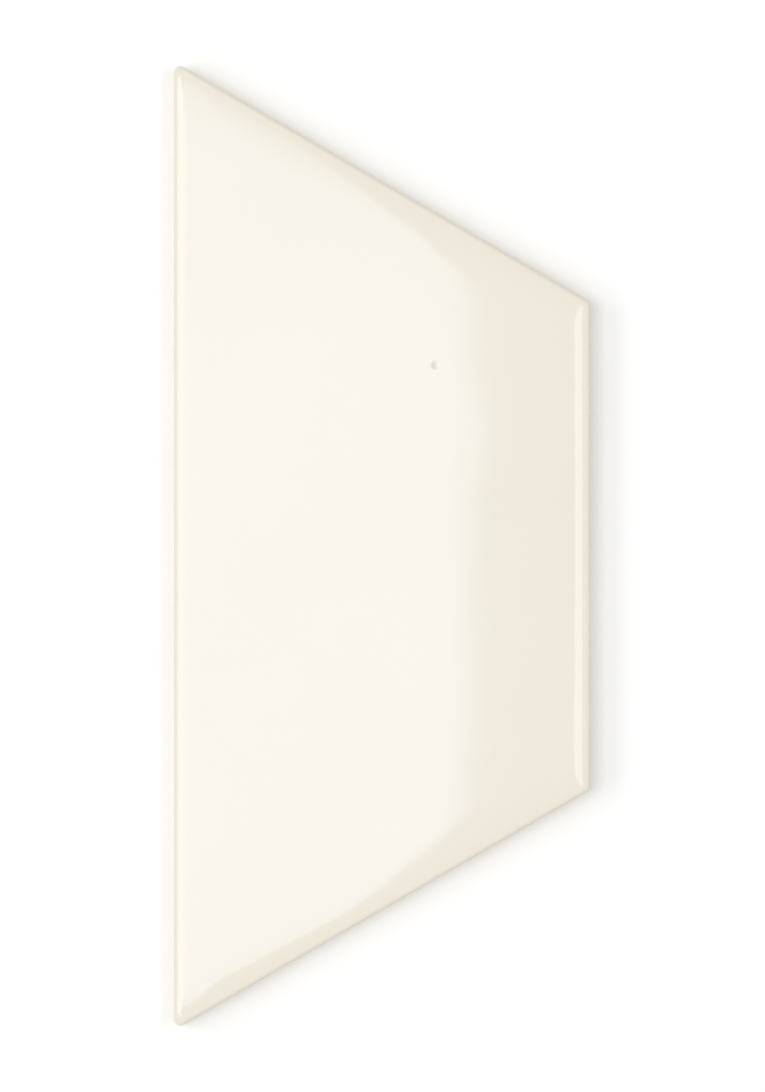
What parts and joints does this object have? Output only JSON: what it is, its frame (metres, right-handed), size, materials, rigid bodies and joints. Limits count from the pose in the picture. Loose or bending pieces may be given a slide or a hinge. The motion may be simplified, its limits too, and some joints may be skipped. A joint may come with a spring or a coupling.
{
  "type": "trapezoid tile",
  "caption": "Half-hexagon wall tile in glossy ivory glaze, with cushioned edges, upright sides and a shallow waffle back.",
  "frame": {"origin": "centre of the back's bedding plane, halfway across the tile and halfway along its bases", "axes": "+X across the tile from the long base to the short one, +Y along the bases, +Z out of the glaze face"},
  "size_m": [0.099, 0.2278, 0.008],
  "materials": {
    "ivory_glaze": "gloss"
  },
  "bodies": {
    "root": {"trapezoid_tile": "ivory_glaze"}
  },
  "joints": []
}
